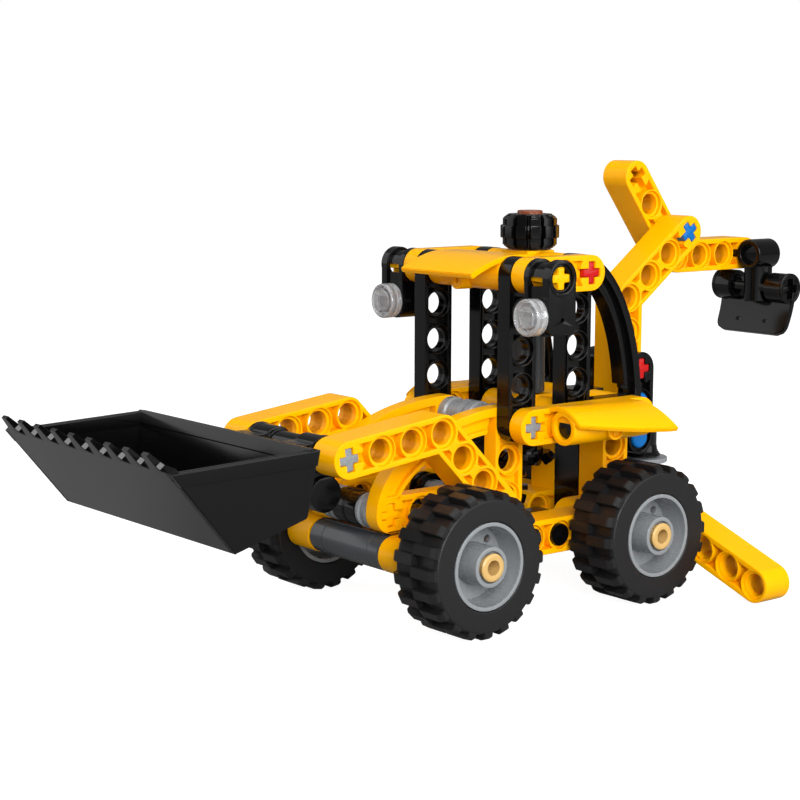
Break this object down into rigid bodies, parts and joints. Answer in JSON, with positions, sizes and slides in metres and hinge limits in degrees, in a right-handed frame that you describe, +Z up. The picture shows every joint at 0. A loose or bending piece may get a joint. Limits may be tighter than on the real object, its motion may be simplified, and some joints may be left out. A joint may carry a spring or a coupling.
{
  "type": "toy backhoe loader",
  "caption": "Toy tractor of perforated plastic beams with a geared front loader bucket, a swivelling rear digger arm, side stabiliser legs and free-rolling wheels",
  "frame": {"origin": "on the ground under the middle of the model, halfway along its length", "axes": "+Z up, the front with the loader bucket along -Y, the vehicle's left side along +X"},
  "size_m": [0.0998, 0.1949, 0.0942],
  "materials": {
    "yellow": "glossy moulded plastic",
    "black": "glossy moulded plastic",
    "dark_grey": "glossy moulded plastic",
    "light_grey": "satin moulded plastic",
    "tyre": "matt moulded rubber",
    "red": "glossy moulded plastic",
    "blue": "glossy moulded plastic",
    "tan": "glossy moulded plastic",
    "brown": "glossy moulded plastic",
    "clear": "clear moulded plastic"
  },
  "bodies": {
    "chassis": {"lower_beam_left": "yellow", "lower_beam_right": "yellow", "nose_connectors": "dark_grey", "hood_left": "yellow", "hood_right": "yellow", "yellow_axles": "yellow", "bushes": "light_grey", "front_pillars": "black", "rear_pillars": "black", "waist_beams": "yellow", "roof_beams": "yellow", "visor": "yellow", "roof_cross": "yellow", "waist_cross": "yellow", "roof_pins": "red", "grey_axles": "light_grey", "inner_beams": "yellow", "frame_pins": "black", "drive_block": "black", "carrier": "black", "swivel_pin": "light_grey", "wheel_pins": "tan", "fender_left": "yellow", "fender_right": "yellow"},
    "loader": {"arm_left": "yellow", "arm_right": "yellow", "arm_axles": "light_grey", "lift_gear": "black"},
    "bucket": {"loader_bucket": "black"},
    "drive": {"drive_axle": "black", "drive_gears": "black"},
    "knob": {"knob_gear": "black", "knob_axle": "brown", "column": "dark_grey", "column_axle": "black", "column_gear": "black"},
    "wheel_fl": {"rim_fl": "light_grey", "tyre_fl": "tyre"},
    "wheel_fr": {"rim_fr": "light_grey", "tyre_fr": "tyre"},
    "wheel_rl": {"rim_rl": "light_grey", "tyre_rl": "tyre"},
    "wheel_rr": {"rim_rr": "light_grey", "tyre_rr": "tyre"},
    "light_left": {"bracket_left": "black", "lamp_left": "clear"},
    "light_right": {"bracket_right": "black", "lamp_right": "clear"},
    "swivel": {"swivel_head": "black"},
    "mast": {"uprights": "black", "boom": "yellow", "mast_axle": "red", "blue_pins": "blue"},
    "stick_arm": {"stick": "yellow", "hub": "black", "hub_axle": "black"},
    "digger": {"digger_bucket": "black", "digger_axle": "black"},
    "leg_left": {"stabiliser_left": "yellow"},
    "leg_right": {"stabiliser_right": "yellow"}
  },
  "joints": [
    {"name": "front_left_wheel", "type": "hinge", "parent": "chassis", "child": "wheel_fl", "pos_m": [0.027, -0.02242, 0.0152], "axis": [1, 0, 0], "continuous": true},
    {"name": "front_right_wheel", "type": "hinge", "parent": "chassis", "child": "wheel_fr", "pos_m": [-0.027, -0.02242, 0.0152], "axis": [1, 0, 0], "continuous": true},
    {"name": "rear_left_wheel", "type": "hinge", "parent": "chassis", "child": "wheel_rl", "pos_m": [0.027, 0.02558, 0.0152], "axis": [1, 0, 0], "continuous": true},
    {"name": "rear_right_wheel", "type": "hinge", "parent": "chassis", "child": "wheel_rr", "pos_m": [-0.027, 0.02558, 0.0152], "axis": [1, 0, 0], "continuous": true},
    {"name": "loader_lift", "type": "hinge", "parent": "chassis", "child": "loader", "pos_m": [0, -0.00642, 0.0232], "axis": [-1, 0, 0], "range_deg": [-18, 36]},
    {"name": "bucket_tilt", "type": "hinge", "parent": "loader", "child": "bucket", "pos_m": [0, -0.04691, 0.03747], "axis": [1, 0, 0], "range_deg": [-8, 50]},
    {"name": "drive_turn", "type": "hinge", "parent": "chassis", "child": "drive", "pos_m": [0, 0.00558, 0.0232], "axis": [0, 1, 0], "range_deg": [-18, 36]},
    {"name": "knob_turn", "type": "hinge", "parent": "chassis", "child": "knob", "pos_m": [0, 0.01758, 0.055], "axis": [0, 0, 1], "range_deg": [-18, 36]},
    {"name": "left_light_tilt", "type": "hinge", "parent": "chassis", "child": "light_left", "pos_m": [0.024, 0.00158, 0.0712], "axis": [1, 0, 0], "range_deg": [-20, 20]},
    {"name": "right_light_tilt", "type": "hinge", "parent": "chassis", "child": "light_right", "pos_m": [-0.024, 0.00158, 0.0712], "axis": [1, 0, 0], "range_deg": [-20, 20]},
    {"name": "backhoe_swing", "type": "hinge", "parent": "chassis", "child": "swivel", "pos_m": [0, 0.05358, 0.03], "axis": [0, 0, 1], "range_deg": [-60, 60]},
    {"name": "boom_tilt", "type": "hinge", "parent": "swivel", "child": "mast", "pos_m": [0, 0.04558, 0.0312], "axis": [1, 0, 0], "range_deg": [-25, 8]},
    {"name": "stick_tilt", "type": "hinge", "parent": "mast", "child": "stick_arm", "pos_m": [-0.008, 0.06478, 0.0776], "axis": [1, 0, 0], "range_deg": [-40, 20]},
    {"name": "digger_tilt", "type": "hinge", "parent": "stick_arm", "child": "digger", "pos_m": [0, 0.09358, 0.0632], "axis": [1, 0, 0], "range_deg": [-60, 30]},
    {"name": "left_leg_swing", "type": "hinge", "parent": "chassis", "child": "leg_left", "pos_m": [0.016, 0.04558, 0.0152], "axis": [0, -1, 0], "range_deg": [0, 60]},
    {"name": "right_leg_swing", "type": "hinge", "parent": "chassis", "child": "leg_right", "pos_m": [-0.016, 0.04558, 0.0152], "axis": [0, 1, 0], "range_deg": [0, 60]}
  ],
  "couplings": [
    {"joint": "drive_turn", "follows": "loader_lift", "ratio": 1},
    {"joint": "knob_turn", "follows": "loader_lift", "ratio": 1}
  ]
}
